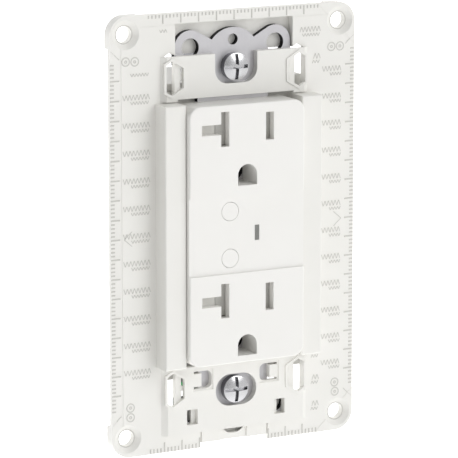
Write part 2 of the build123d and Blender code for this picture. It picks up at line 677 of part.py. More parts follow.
def make_neutral_strip():
    strip = plate(-12.2, -9.2, STRIP_FRONT, CARRIER_TOP, *STRIP_ENDS)
    strip += plate(-12.2, -11.2, STRIP_FRONT, BOARD_FRONT, -1.5, 1.5)
    inner = BLADE_GAP / 2
    right = -BLADE_X + inner
    left = -BLADE_X - inner
    step = ARM_HEIGHT / 2 + FIT
    for row in OUTLET_ROWS.values():
        low = row - LEAF_HALF_HEIGHT
        high = row + LEAF_HALF_HEIGHT
        strip += plate(-12.2, right + LEAF, STRIP_FRONT, CARRIER_TOP, low, high)
        strip += plate(right, right + LEAF, LEAF_FRONT, STRIP_FRONT, low, high)
        strip += plate(left - LEAF, left, LEAF_FRONT, STRIP_FRONT, row + step, high)
        strip += plate(left - LEAF, left, LEAF_FRONT, STRIP_FRONT, low, row - step)
        strip += plate(-12.0, left, LEAF_FRONT, STRIP_FRONT, row + step, row + step + LEAF)
        strip += plate(-12.0, left, LEAF_FRONT, STRIP_FRONT, row - step - LEAF, row - step)
    save("neutral_contact_strip", strip)


def make_ground_contacts():
    """Clips riveted behind the strap, with a pair of leaves for each ground pin."""
    rivets = []
    inner = GROUND_GAP / 2
    foot_back = STRAP_BACK + LEAF
    head_back = foot_back + RIVET_HEAD
    for name, row in OUTLET_ROWS.items():
        z = row - GROUND_DROP
        foot = Pos(0, z) * Rectangle(2 * GROUND_FOOT_HALF_WIDTH, 2 * GROUND_FOOT_HALF_HEIGHT)
        foot -= disc(0, z, GROUND_GAP / 2)
        for x in (-RIVET_X, RIVET_X):
            foot -= disc(x, z, RIVET_R + FIT / 2)
        clip = slab(foot, STRAP_BACK, foot_back)
        for side in (-1, 1):
            ends = sorted((side * inner, side * (inner + LEAF)))
            half = GROUND_LEAF_HALF_HEIGHT
            clip += plate(*ends, foot_back, foot_back + GROUND_LEAF_DEPTH, z - half, z + half)
            rivet = rod(side * RIVET_X, z, RIVET_R, STRAP_FRONT, foot_back)
            rivet += rod(side * RIVET_X, z, RIVET_HEAD_R, foot_back, head_back)
            rivets.append(rivet)
        save(f"ground_contact_{name}", clip)
    save("ground_contact_rivets", group(rivets))


# --- Contact carrier: the insulator between the strap and the board -----------

def make_contact_carrier():
    half_x = HOUSING_IN_X - FIT
    half_z = HOUSING_IN_Z - FIT
    body = plate(-half_x, half_x, STRAP_BACK, CARRIER_BACK, -half_z, half_z)
    wall_x = half_x - CARRIER_WALL
    wall_z = half_z - CARRIER_END_WALL
    body -= plate(-wall_x, wall_x, STRAP_BACK, CARRIER_TOP, -wall_z, wall_z)
    for x, z in PILLARS:
        body += rod(x, z, PILLAR_R, STRAP_BACK, CARRIER_TOP)
    for z in (BUTTON_Z, -BUTTON_Z):
        body += rod(BUTTON_X, z, BUTTON_SPRING_R + 0.6, TOWER_TOP, CARRIER_TOP)
        body -= rod(BUTTON_X, z, BUTTON_STEM_R + BUTTON_GAP, STRAP_BACK, CARRIER_BACK)
    for x in (-11.0, 11.0):
        for z in (-25.0, 25.0):
            body += rod(x, z, 1.5, CARRIER_BACK, BOARD_FRONT)
    for x, z in PILLARS:
        body -= rod(x, z, LONG_SCREW_R + FIT, STRAP_BACK, CARRIER_BACK)
    body -= slab(lamp_outline(-2 * FIT), STRAP_BACK, CARRIER_BACK)
    for x0, x1 in ((11.1, 12.3), (-12.3, -11.1)):
        body -= plate(x0, x1, CARRIER_TOP, CARRIER_BACK, -1.6, 1.6)
    save("contact_carrier", body)


# --- Rear housing and its long screws ------------------------------------------

TERMINAL_Y = BOARD_FRONT + 3.5


def make_rear_housing():
    half_x = HOUSING_WIDTH / 2
    half_z = HOUSING_HEIGHT / 2
    body = plate(-half_x, half_x, STRAP_BACK, HOUSING_BACK, -half_z, half_z)
    rear = body.edges().group_by(Axis.Y)[-1]
    body = chamfer(rear, length=1.0)
    body -= plate(
        -HOUSING_IN_X, HOUSING_IN_X, STRAP_BACK, HOUSING_FLOOR, -HOUSING_IN_Z, HOUSING_IN_Z
    )
    for x, z in PILLARS:
        body += rod(x, z, PILLAR_R + 0.2, CARRIER_BACK, HOUSING_FLOOR)
        body -= rod(x, z, LONG_SCREW_R + FIT, CARRIER_BACK, HOUSING_BACK)
        body -= rod(x, z, 2.3, HOUSING_BACK - 1.0, HOUSING_BACK)
    for side in (-1, 1):
        for z in (-TERMINAL_Z, TERMINAL_Z):
            ends = sorted((side * HOUSING_IN_X, side * half_x))
            body -= plate(
                *ends, TERMINAL_Y - 5.0, TERMINAL_Y + 5.0, z - 5.2, z + 5.2
            )
            for dz in (-2.6, 2.6):
                hole = rod(side * (HOUSING_IN_X - 1.8), z + dz, 1.3, HOUSING_FLOOR, HOUSING_BACK)
                body -= hole
    for x in LATCH_POSTS:
        body += rod(x, -BUTTON_Z, POST_R, BOARD_BACK + 1.0, HOUSING_FLOOR)
    save("rear_housing", body)


def make_housing_screws():
    screws = []
    for x, z in PILLARS:
        head_front = HOUSING_BACK - 1.0
        screw = rod(x, z, LONG_SCREW_R, FACE_BACK + 1.5, head_front)
        screw += rod(x, z, 2.2, head_front, head_front + 1.3)
        cross = plate(x - 1.4, x + 1.4, head_front + 0.6, head_front + 1.3, z - 0.25, z + 0.25)
        cross += plate(x - 0.25, x + 0.25, head_front + 0.6, head_front + 1.3, z - 1.4, z + 1.4)
        screws.append(screw - cross)
    save("housing_screws", group(screws))


# --- Side terminals --------------------------------------------------------------

def make_terminals():
    kinds = {1: "hot", -1: "neutral"}
    for side, kind in kinds.items():
        plates = []
        clamps = []
        screws = []
        for z in (-TERMINAL_Z, TERMINAL_Z):
            outer = side * (HOUSING_IN_X - FIT)
            inner = outer - side * TERMINAL_PLATE
            low = z - TERMINAL_HALF_WIDTH
            high = z + TERMINAL_HALF_WIDTH
            terminal = plate(*sorted((inner, outer)), BOARD_FRONT - 1.2, TERMINAL_Y + 4.5, low, high)
            foot_end = side * (BOARD_WIDTH / 2 - 2.0)
            terminal += plate(
                *sorted((foot_end, inner)), BOARD_FRONT - 1.2, BOARD_FRONT, z - 2.2, z + 2.2
            )
            terminal -= side_rod(*sorted((inner, outer)), TERMINAL_Y, z, TERMINAL_SCREW_R + FIT)
            plates.append(terminal)

            gap = 1.0
            near = inner - side * gap
            far = near - side * TERMINAL_PLATE
            clamp = plate(*sorted((near, far)), BOARD_FRONT + 0.3, TERMINAL_Y + 3.3, z - 4.0, z + 4.0)
            clamp -= side_rod(*sorted((near, far)), TERMINAL_Y, z, TERMINAL_SCREW_R + FIT / 2)
            clamps.append(clamp)

            seat = outer + side * 0.3
            top = seat + side * TERMINAL_HEAD
            screw = side_rod(*sorted((seat, top)), TERMINAL_Y, z, TERMINAL_HEAD_R)
            screw += side_rod(*sorted((far - side * 0.8, seat)), TERMINAL_Y, z, TERMINAL_SCREW_R)
            slot_floor = top - side * 1.0
            screw -= plate(
                *sorted((slot_floor, top)),
                TERMINAL_Y - TERMINAL_HEAD_R,
                TERMINAL_Y + TERMINAL_HEAD_R,
                z - SCREW_SLOT / 2,
                z + SCREW_SLOT / 2,
            )
            screws.append(screw)
        save(f"{kind}_terminal_plates", group(plates))
        save(f"{kind}_clamp_plates", group(clamps))
        save(f"{kind}_terminal_screws", group(screws))


# --- Circuit board and what stands on it -----------------------------------------

SENSOR_X = 5.2
SENSOR_Z = -19.5
SENSOR_R = 7.6
SENSOR_DEPTH = 9.0


def make_board():
    board = Rectangle(BOARD_WIDTH, BOARD_HEIGHT)
    for x, z in PILLARS:
        board -= disc(x, z, PILLAR_R + 0.5)
    board -= disc(BUTTON_X, -BUTTON_Z, BUTTON_STEM_R + 2 * BUTTON_GAP)
    save("circuit_board", slab(board, BOARD_FRONT, BOARD_BACK))


def make_sensor():
    back = BOARD_BACK + SENSOR_DEPTH
    shell = rod(SENSOR_X, SENSOR_Z, SENSOR_R, BOARD_BACK, back)
    shell -= rod(SENSOR_X, SENSOR_Z, SENSOR_R - 0.8, BOARD_BACK, back - 0.8)
    shell += rod(SENSOR_X, SENSOR_Z, 3.0, BOARD_BACK, back - 0.8)
    shell -= rod(SENSOR_X, SENSOR_Z, 2.2, BOARD_BACK, back)
    save("sensor_shell", shell)
    rings = []
    for front in (BOARD_BACK + 0.6, BOARD_BACK + 4.4):
        ring = rod(SENSOR_X, SENSOR_Z, SENSOR_R - 1.0, front, front + 3.5)
        rings.append(ring - rod(SENSOR_X, SENSOR_Z, 3.2, front, front + 3.5))
    save("sensor_rings", group(rings))


def make_electronics():
    save("filter_capacitor", rod(8.0, 21.0, 4.0, BOARD_BACK, BOARD_BACK + 9.0))
    disc_y = BOARD_BACK + 5.3
    varistor = side_rod(-10.0, -6.4, disc_y, -20.0, 5.0)
    for z in (-22.2, -17.8):
        varistor += rod(-8.2, z, 0.35, BOARD_BACK, disc_y)
    save("surge_absorber", varistor)
    save("control_chip", plate(4.0, 9.0, BOARD_BACK, BOARD_BACK + 1.6, 3.0, 9.0))
    save("thyristor", plate(9.5, 13.0, BOARD_BACK, BOARD_BACK + 4.0, -6.0, -2.0))


# --- Trip coil, plunger and latch --------------------------------------------------

LATCH_POSTS = (-9.6, 4.4)
LATCH_BACK = BOARD_BACK + 7.0
LATCH_FRONT = BOARD_BACK + 2.1


def make_trip_coil():
    flange = 1.0
    tube_r = PLUNGER_R + 0.9
    bobbin = upright_rod(COIL_X, COIL_Y, COIL_LOW_Z, COIL_HIGH_Z, tube_r)
    for z in (COIL_LOW_Z, COIL_HIGH_Z - flange):
        bobbin += upright_rod(COIL_X, COIL_Y, z, z + flange, COIL_R)
    bobbin -= upright_rod(COIL_X, COIL_Y, COIL_LOW_Z, COIL_HIGH_Z, PLUNGER_R + 0.3)
    save("solenoid_bobbin", bobbin)

    low = COIL_LOW_Z + flange
    high = COIL_HIGH_Z - flange
    winding = upright_rod(COIL_X, COIL_Y, low, high, COIL_R - 0.4)
    winding -= upright_rod(COIL_X, COIL_Y, low, high, tube_r + FIT / 2)
    save("solenoid_winding", winding)

    half = COIL_R + 0.2
    front = COIL_Y - COIL_R
    bridge = HOUSING_FLOOR - YOKE_THICKNESS
    below = COIL_LOW_Z - YOKE_THICKNESS
    above = COIL_HIGH_Z + YOKE_THICKNESS
    left = COIL_X - half
    right = COIL_X + half
    yoke = plate(left, right, bridge, HOUSING_FLOOR, below, above)
    yoke += plate(left, right, front, bridge, below, COIL_LOW_Z)
    yoke += plate(left, right, front, bridge, COIL_HIGH_Z, above)
    yoke -= upright_rod(COIL_X, COIL_Y, below, COIL_LOW_Z, PLUNGER_R + 0.3)
    save("solenoid_yoke", yoke)


def make_plunger():
    collar_low = 0.4
    collar_high = collar_low + 1.0
    spring_r = PLUNGER_R + 0.7
    top = COIL_HIGH_Z - PLUNGER_TRAVEL - 0.5
    plunger = upright_rod(COIL_X, COIL_Y, collar_low - 1.2, top, PLUNGER_R)
    plunger += upright_rod(COIL_X, COIL_Y, collar_low, collar_high, spring_r + 0.5)
    save("solenoid_plunger", plunger)
    length = COIL_LOW_Z - YOKE_THICKNESS - collar_high
    spring = coil_spring(spring_r, 0.25, length, 5)
    save("plunger_spring", Pos(COIL_X, COIL_Y, collar_high) * spring)


def make_latch():
    block = rect(-11.6, 6.4, -9.4, -2.6)
    for x in LATCH_POSTS:
        block -= disc(x, -BUTTON_Z, POST_R + BUTTON_GAP)
    block -= disc(BUTTON_X, -BUTTON_Z, BUTTON_STEM_R + 0.3)
    save("latch_block", slab(block, LATCH_FRONT, LATCH_BACK))
    bars = []
    fixed = []
    for low, high in ((-9.2, -8.0), (-4.2, -3.0)):
        bar = plate(-10.6, 5.4, LATCH_FRONT - 0.8, LATCH_FRONT, low, high)
        for x in (-7.6, 1.6):
            bar += plate(x - 0.6, x + 0.6, LATCH_FRONT - 1.3, LATCH_FRONT - 0.8, low, high)
            fixed.append(plate(x - 0.8, x + 0.8, BOARD_BACK, BOARD_BACK + 0.7, low, high))
        bars.append(bar)
    save("moving_contacts", group(bars))
    save("fixed_contacts", group(fixed))


os.makedirs("parts", exist_ok=True)
make_sub_plate()
make_strap()
make_ground_screw()
make_device_screws()
make_face_cover()
make_button("test", BUTTON_Z, BOARD_FRONT - BUTTON_TRAVEL - 4 * FIT)
make_button("reset", -BUTTON_Z, LATCH_FRONT + 2.0)
make_light_pipe()
for outlet, height in OUTLET_ROWS.items():
    make_shutter(outlet, height)
make_hot_strip()
make_neutral_strip()
make_ground_contacts()
make_contact_carrier()
make_rear_housing()
make_housing_screws()
make_terminals()
make_board()
make_sensor()
make_electronics()
make_trip_coil()
make_plunger()
make_latch()
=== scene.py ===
import math
import bpy
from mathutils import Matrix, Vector


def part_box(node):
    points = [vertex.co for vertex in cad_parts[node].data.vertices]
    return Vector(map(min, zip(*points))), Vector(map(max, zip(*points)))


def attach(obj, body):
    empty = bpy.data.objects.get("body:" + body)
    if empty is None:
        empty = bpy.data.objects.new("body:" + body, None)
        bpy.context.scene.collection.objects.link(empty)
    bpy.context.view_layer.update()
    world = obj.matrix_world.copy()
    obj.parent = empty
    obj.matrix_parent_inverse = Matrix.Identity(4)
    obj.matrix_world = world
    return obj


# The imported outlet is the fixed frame, in metres: X to the right, Z up, Y into
# the wall. The box kept here is the CAD model's own.
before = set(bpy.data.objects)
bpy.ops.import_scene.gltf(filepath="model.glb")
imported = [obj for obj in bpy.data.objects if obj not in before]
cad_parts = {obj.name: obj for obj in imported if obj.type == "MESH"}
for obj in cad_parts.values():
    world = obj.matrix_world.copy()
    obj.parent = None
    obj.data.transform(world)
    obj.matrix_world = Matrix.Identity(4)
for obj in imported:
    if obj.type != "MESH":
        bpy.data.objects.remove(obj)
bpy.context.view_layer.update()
MM = 0.001

# Mounting sub-plate: one injection moulding in white polycarbonate. The mould is
# polished at the edges and spark-eroded in the middle field, so the field is
# finely grained and the rails, corners and ruler strips are satin.
POLYCARBONATE_IOR = 1.585
POLYCARBONATE_LIGHT = "#F3F2EE"
POLYCARBONATE_SHADE = "#EDECE7"
plate_low, plate_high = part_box("sub_plate")
plate_side = plate_high.x
plate_top = plate_high.z
flange_front = plate_low.y + 5.6 * MM


def linear(hex_colour):
    """An sRGB hex colour as the linear values that a shader takes."""
    channels = [int(hex_colour[i:i + 2], 16) / 255 for i in (1, 3, 5)]
    curve = [c / 12.92 if c <= 0.04045 else ((c + 0.055) / 1.055) ** 2.4 for c in channels]
    return (*curve, 1.0)


def add_node(tree, kind, settings=None, links=None):
    """One shader node with its settings, fed from the outputs named in links."""
    node = tree.nodes.new(kind)
    for key, value in (settings or {}).items():
        if isinstance(key, int) or key in node.inputs:
            node.inputs[key].default_value = value
        else:
            setattr(node, key, value)
    for key, source in (links or {}).items():
        tree.links.new(source, node.inputs[key])
    return node


def new_finish(name):
    """An empty material with its node tree and the piece's own coordinates."""
    finish = bpy.data.materials.new(name)
    finish.use_nodes = True
    tree = finish.node_tree
    tree.nodes.clear()
    place = add_node(tree, "ShaderNodeTexCoord").outputs["Object"]
    return finish, tree, place


def moulded_plastic(name, light, shade, ior, roughness, grain_mm, depth_mm, flow_mm=14.0):
    """Injection-moulded plastic: mould grain of one size, and a faint flow mottle."""
    finish, tree, place = new_finish(name)
    grain = add_node(
        tree,
        "ShaderNodeTexNoise",
        {"Scale": 1 / (grain_mm * MM), "Detail": 3.0, "Roughness": 0.55},
        {"Vector": place},
    )
    flow = add_node(
        tree,
        "ShaderNodeTexNoise",
        {"Scale": 1 / (flow_mm * MM), "Detail": 2.0},
        {"Vector": place},
    )
    colour = add_node(
        tree,
        "ShaderNodeMix",
        {"data_type": "RGBA", 6: linear(light), 7: linear(shade)},
        {0: flow.outputs["Fac"]},
    )
    gloss = add_node(
        tree,
        "ShaderNodeMapRange",
        {"To Min": roughness - 0.04, "To Max": roughness + 0.06},
        {"Value": grain.outputs["Fac"]},
    )
    relief = add_node(
        tree,
        "ShaderNodeBump",
        {"Strength": 1.0, "Distance": depth_mm * MM},
        {"Height": grain.outputs["Fac"]},
    )
    skin = add_node(
        tree,
        "ShaderNodeBsdfPrincipled",
        {"IOR": ior},
        {
            "Base Color": colour.outputs[2],
            "Roughness": gloss.outputs["Result"],
            "Normal": relief.outputs["Normal"],
        },
    )
    add_node(tree, "ShaderNodeOutputMaterial", None, {"Surface": skin.outputs[0]})
    return finish


def dress(finish, *nodes):
    """Gives the finish to every material slot of these CAD nodes."""
    for node in nodes:
        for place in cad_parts[node].material_slots:
            place.material = finish


# Satin white with a grain that only just breaks up the highlights. Real spark
# erosion is about 0.05 mm; it is drawn at 0.35 mm so that it shows at this size.
satin_polycarbonate = moulded_plastic(
    "satin_moulded_polycarbonate",
    POLYCARBONATE_LIGHT,
    POLYCARBONATE_SHADE,
    POLYCARBONATE_IOR,
    roughness=0.42,
    grain_mm=0.35,
    depth_mm=0.012,
)
dress(satin_polycarbonate, "sub_plate")

# Ruler scales: raised lines, 1 mm apart with a longer one every 5 mm, in the shallow strips round
# the sub-plate. They are cut into the mould with a small engraving tool, so each line is narrow at
# its top and dull. Each line is painted greyer than the strip, painted shade that stands for the
# shadow of a groove.
TICK_WIDTH = 0.42
TICK_RISE = 0.14
TICK_SHORT = 1.2
TICK_LONG = 2.65
TICKS_UP = 44
TICKS_ACROSS = 24
LOWER_SCALE_START = 10
STRIP_DEPTH = 0.1
strip_front = flange_front + STRIP_DEPTH * MM


class Relief:
    """Raised lines of one moulding, gathered into one mesh."""

    def __init__(self):
        self.points = []
        self.faces = []

    def bar(self, start, end, width, front, rise):
        """A line between two front-view points in mm, with sloping sides."""
        run = Vector(end) - Vector(start)
        run.normalize()
        across = Vector((-run.y, run.x))
        first = len(self.points)
        for depth, spread, pull in ((0.02, 0.5, 0.0), (-rise, 0.28, 0.22)):
            for tip, way in ((start, 1), (end, -1)):
                for side in (1, -1):
                    at = Vector(tip) + run * way * pull * width + across * side * spread * width
                    self.points.append((at.x * MM, front + depth * MM, at.y * MM))
        a = [first + i for i in range(8)]
        self.faces += [
            (a[0], a[1], a[3], a[2]),
            (a[4], a[6], a[7], a[5]),
            (a[0], a[4], a[5], a[1]),
            (a[2], a[3], a[7], a[6]),
            (a[0], a[2], a[6], a[4]),
            (a[1], a[5], a[7], a[3]),
        ]

    def ring(self, centre, radius, width, front, rise, sides=28):
        """A raised ring round a front-view point in mm."""
        first = len(self.points)
        section = ((0.5, 0.02), (0.28, -rise), (-0.28, -rise), (-0.5, 0.02))
        for step in range(sides):
            angle = 2 * math.pi * step / sides
            for spread, depth in section:
                reach = radius + spread * width
                self.points.append((
                    (centre[0] + reach * math.cos(angle)) * MM,
                    front + depth * MM,
                    (centre[1] + reach * math.sin(angle)) * MM,
                ))
        for step in range(sides):
            near = first + 4 * step
            far = first + 4 * ((step + 1) % sides)
            for k in range(4):
                nxt = (k + 1) % 4
                self.faces.append((near + k, near + nxt, far + nxt, far + k))

    def piece(self, name, finish, body):
        """The gathered lines as one piece that rides on a body."""
        mesh = bpy.data.meshes.new(name)
        mesh.from_pydata(self.points, [], self.faces)
        mesh.validate()
        mesh.materials.append(finish)
        made = bpy.data.objects.new(name, mesh)
        bpy.context.scene.collection.objects.link(made)
        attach(made, body)
        return made


def tick_length(step):
    return TICK_LONG if step % 5 == 0 else TICK_SHORT


side_mm = plate_side / MM
top_mm = plate_top / MM
scales = Relief()
for step in range(-TICKS_UP, TICKS_UP + 1):
    for side in (-1, 1):
        reach = tick_length(step)
        outer = (side * (side_mm - 0.1), step)
        inner = (side * (side_mm - reach), step)
        scales.bar(outer, inner, TICK_WIDTH, strip_front, TICK_RISE)
for step in range(-TICKS_ACROSS, TICKS_ACROSS + 1):
    reach = tick_length(step)
    scales.bar((step, top_mm - 0.35), (step, top_mm - reach), TICK_WIDTH, strip_front, TICK_RISE)
    if abs(step) >= LOWER_SCALE_START:
        foot = -top_mm + 0.1
        scales.bar((step, foot), (step, foot + reach), TICK_WIDTH, strip_front, TICK_RISE)

# The engraved lines keep the cutter's dull finish, and their colour is painted greyer than the
# strip: painted shade for the small shadows of the relief. Tool marks of 0.02 mm are drawn at 0.2
# mm.
relief_shade_polycarbonate = moulded_plastic(
    "relief_polycarbonate_painted_shade",
    "#D6D5D0",
    "#CCCBC6",
    POLYCARBONATE_IOR,
    roughness=0.6,
    grain_mm=0.2,
    depth_mm=0.01,
)
scales.piece("ruler_scales", relief_shade_polycarbonate, "device")

# Field pattern: low zigzags, a tall one over a short one, set like bricks over the
# sub-plate's flat field. They are part of the same moulding, under 0.1 mm high.
BRICK_WIDTH = 8.1
BRICK_HEIGHT = 7.0
BRICK_SHIFT = 1.1
UPPER_STEP = 0.5
UPPER_HEIGHT = 1.35
UPPER_STROKES = 15
LOWER_STEP = 0.42
LOWER_HEIGHT = 0.8
LOWER_STROKES = 12
LOWER_SHIFT = 2.2
LOWER_DROP = 1.15
FEWEST_STROKES = 4
PATTERN_WIDTH = 0.24
PATTERN_RISE = 0.08
FIELD_HALF_X = side_mm - 3.5
FIELD_HALF_Z = top_mm - 3.9
CORNER_X, CORNER_Z = 25.6, 41.8
RAIL_EDGE = 22.9
BAND_EDGE = 22.4
WINDOW_EDGE = 18.6
WINDOW_SILL = 46.5
UPPER_BAND = 36.0
LOWER_BAND = -34.0


def in_field(x, z):
    """True on the flat field, clear of corners, rails, bands, sockets and window."""
    across, up = abs(x), abs(z)
    if across > FIELD_HALF_X or up > FIELD_HALF_Z:
        return False
    if across > CORNER_X and up > CORNER_Z:
        return False
    if z > WINDOW_SILL:
        return across > WINDOW_EDGE
    if z > UPPER_BAND or z < LOWER_BAND:
        return across > BAND_EDGE
    return across > RAIL_EDGE


pattern = Relief()


def zigzag(left, low, step, height, count):
    """A zigzag of short strokes, cut off at the field's edge; a mere scrap is left out."""
    strokes = []
    for k in range(count):
        z0, z1 = (low, low + height) if k % 2 else (low + height, low)
        start, end = (left + k * step, z0), (left + (k + 0.9) * step, z1)
        if in_field(*start) and in_field(*end):
            strokes.append((start, end))
    if len(strokes) < FEWEST_STROKES:
        return
    for start, end in strokes:
        pattern.bar(start, end, PATTERN_WIDTH, flange_front, PATTERN_RISE)


for column in range(-4, 5):
    for row in range(-8, 9):
        left = column * BRICK_WIDTH + BRICK_SHIFT
        low = row * BRICK_HEIGHT + (column % 2) * BRICK_HEIGHT / 2
        zigzag(left, low, UPPER_STEP, UPPER_HEIGHT, UPPER_STROKES)
        zigzag(left + LOWER_SHIFT, low - LOWER_DROP, LOWER_STEP, LOWER_HEIGHT, LOWER_STROKES)
# The zigzags take the greyed relief finish, which is painted shade.
pattern.piece("field_pattern", relief_shade_polycarbonate, "device")

# Mould rings and direction arrows: date-insert rings near the corners, an arrow at the middle of
# each side, and the slanted lines that end the ruler strips, all in the greyed relief finish,
# which is painted shade. A thin raised grey ring also sits at the foot of each corner hole's dish;
# it is painted shade for the dark ring round the hole.
RING_R = 1.05
RING_WIDTH = 0.34
HUB_R = 0.3
HUB_WIDTH = 0.3
UPPER_RINGS = ((-30.4, 44.7), (-27.9, 44.6), (28.0, 44.8), (30.5, 44.8))
LOWER_RINGS = ((-29.6, -43.4), (-29.6, -45.9), (29.5, -43.4), (29.6, -45.9))
ARROW_TIP, ARROW_TAIL, ARROW_RISE = 31.1, 28.9, 1.9
SLANT_WIDTH, SLANT_RISE = 0.2, 0.1
HOLE_INSET_X, HOLE_INSET_Z = 4.45, 4.8
HOLE_SHADE_RING_R = 2.28
HOLE_SHADE_RING_RISE = 0.12
DISH_DEPTH = 1.1
rings = Relief()
for centre in UPPER_RINGS + LOWER_RINGS:
    rings.ring(centre, RING_R, RING_WIDTH, flange_front, PATTERN_RISE)
    rings.ring(centre, HUB_R, HUB_WIDTH, flange_front, PATTERN_RISE, sides=14)
dish_foot = flange_front + DISH_DEPTH * MM
for side in (-1, 1):
    for way in (-1, 1):
        tip = (side * ARROW_TIP, 0.0)
        tail = (side * ARROW_TAIL, way * ARROW_RISE)
        rings.bar(tip, tail, PATTERN_WIDTH, flange_front, PATTERN_RISE)
        slant = ((side * (side_mm - 0.2), way * 47.6), (side * (side_mm - 2.7), way * 45.3))
        rings.bar(*slant, SLANT_WIDTH, strip_front, SLANT_RISE)
        hole = (side * (side_mm - HOLE_INSET_X), way * (top_mm - HOLE_INSET_Z))
        # Painted shade: a grey ring round each corner hole.
        rings.ring(hole, HOLE_SHADE_RING_R, RING_WIDTH, dish_foot, HOLE_SHADE_RING_RISE, sides=36)
rings.piece("mould_marks", relief_shade_polycarbonate, "device")

# Mounting strap and coil yoke: 1.6 mm cold-rolled steel, blanked and bent, then
# electroplated with zinc and passivated, which leaves it a dull grey with a hint
# of violet.
def plated_metal(name, light, shade, roughness, streak_mm, stretch, depth_mm, side_shade=None):
    """Plated metal whose fine streaks follow the way it was rolled or turned.

    side_shade, if given, is painted shade: a darker colour for sides that stand square to the
    front, darkest where they face straight across.
    """
    finish, tree, place = new_finish(name)
    drawn = add_node(
        tree,
        "ShaderNodeMapping",
        {"Scale": tuple(s / (streak_mm * MM) for s in stretch)},
        {"Vector": place},
    )
    streaks = add_node(
        tree,
        "ShaderNodeTexNoise",
        {"Scale": 1.0, "Detail": 4.0, "Roughness": 0.6},
        {"Vector": drawn.outputs["Vector"]},
    )
    bloom = add_node(
        tree,
        "ShaderNodeTexNoise",
        {"Scale": 1 / (3.0 * MM), "Detail": 3.0},
        {"Vector": place},
    )
    colour = add_node(
        tree,
        "ShaderNodeMix",
        {"data_type": "RGBA", 6: linear(light), 7: linear(shade)},
        {0: bloom.outputs["Fac"]},
    )
    tone = colour.outputs[2]
    # Painted shade: sides that stand square to the front are darkened.
    if side_shade:
        facing = add_node(
            tree,
            "ShaderNodeSeparateXYZ",
            None,
            {"Vector": add_node(tree, "ShaderNodeTexCoord").outputs["Normal"]},
        )
        flat = add_node(
            tree, "ShaderNodeMath", {"operation": "ABSOLUTE"}, {0: facing.outputs["Y"]}
        )
        shaded_sides = add_node(
            tree,
            "ShaderNodeMix",
            {"data_type": "RGBA", 6: linear(side_shade)},
            {0: flat.outputs[0], 7: tone},
        )
        tone = shaded_sides.outputs[2]
    gloss = add_node(
        tree,
        "ShaderNodeMapRange",
        {"To Min": roughness - 0.06, "To Max": roughness + 0.08},
        {"Value": streaks.outputs["Fac"]},
    )
    relief = add_node(
        tree,
        "ShaderNodeBump",
        {"Strength": 1.0, "Distance": depth_mm * MM},
        {"Height": streaks.outputs["Fac"]},
    )
    skin = add_node(
        tree,
        "ShaderNodeBsdfPrincipled",
        {"Metallic": 1.0},
        {
            "Base Color": tone,
            "Roughness": gloss.outputs["Result"],
            "Normal": relief.outputs["Normal"],
        },
    )
    add_node(tree, "ShaderNodeOutputMaterial", None, {"Surface": skin.outputs[0]})
    return finish


# Soft grey with faint upright rolling lines. Real rolling lines are about 0.03 mm apart; they are
# drawn at 0.25 mm so that they show. Its sides that stand square to the front are painted dark,
# painted shade.
zinc_plated_sheet = plated_metal(
    "rolled_zinc_plated_steel",
    "#D2D1D3",
    "#C6C5C8",
    roughness=0.5,
    streak_mm=0.25,
    stretch=(1.0, 1.0, 0.06),
    depth_mm=0.004,
    side_shade="#2E2D30",
)
dress(zinc_plated_sheet, "mounting_strap", "solenoid_yoke")

# Device screws, housing screws, rivets and trip plunger: cold-headed steel with bright zinc, which
# mirrors the room in soft patches. Sides that stand square to the front, down the heads and in the
# slots, are painted darker, painted shade. Turning rings of 0.02 mm are drawn at 0.3 mm.
bright_zinc = plated_metal(
    "bright_zinc_plated_screw",
    "#DADADB",
    "#CFCFD2",
    roughness=0.22,
    streak_mm=0.3,
    stretch=(1.0, 1.0, 1.0),
    depth_mm=0.002,
    side_shade="#77777B",
)
dress(bright_zinc, "device_mounting_screws", "housing_screws", "ground_contact_rivets")
dress(bright_zinc, "solenoid_plunger")

# Screw retaining washers: punched from pressed fibre board, brown and matt, with
# paper fibres about 0.2 mm across showing on the face.
pressed_fibre = moulded_plastic(
    "pressed_fibre_board", "#8A5A3A", "#6E452B", 1.5, roughness=0.8, grain_mm=0.2, depth_mm=0.02
)
dress(pressed_fibre, "screw_retaining_washers")

# Face cover and buttons: moulded in a white polycarbonate blend in a polished
# mould, smoother and a shade whiter than the sub-plate. The grain is 0.5 mm here,
# drawn coarser than the real 0.05 mm, and very shallow.
smooth_face = moulded_plastic(
    "smooth_white_face_plastic",
    "#F6F5F2",
    "#F2F1ED",
    1.55,
    roughness=0.3,
    grain_mm=0.5,
    depth_mm=0.003,
)
dress(smooth_face, "face_cover", "test_button", "reset_button")

# Light pipe and indicator lamp: clear acrylic moulded with a frosted front, which
# passes light without letting the lamp be seen.
def frosted_acrylic():
    finish, tree, place = new_finish("frosted_acrylic_light_pipe")
    haze = add_node(
        tree,
        "ShaderNodeTexNoise",
        {"Scale": 1 / (0.4 * MM), "Detail": 2.0},
        {"Vector": place},
    )
    colour = add_node(
        tree,
        "ShaderNodeMix",
        {"data_type": "RGBA", 6: linear("#A9AAA6"), 7: linear("#8F908C")},
        {0: haze.outputs["Fac"]},
    )
    relief = add_node(
        tree,
        "ShaderNodeBump",
        {"Distance": 0.01 * MM},
        {"Height": haze.outputs["Fac"]},
    )
    skin = add_node(
        tree,
        "ShaderNodeBsdfPrincipled",
        {"IOR": 1.49, "Roughness": 0.35, "Transmission Weight": 0.35},
        {"Base Color": colour.outputs[2], "Normal": relief.outputs["Normal"]},
    )
    add_node(tree, "ShaderNodeOutputMaterial", None, {"Surface": skin.outputs[0]})
    return finish


dress(frosted_acrylic(), "light_pipe", "indicator_lamp")

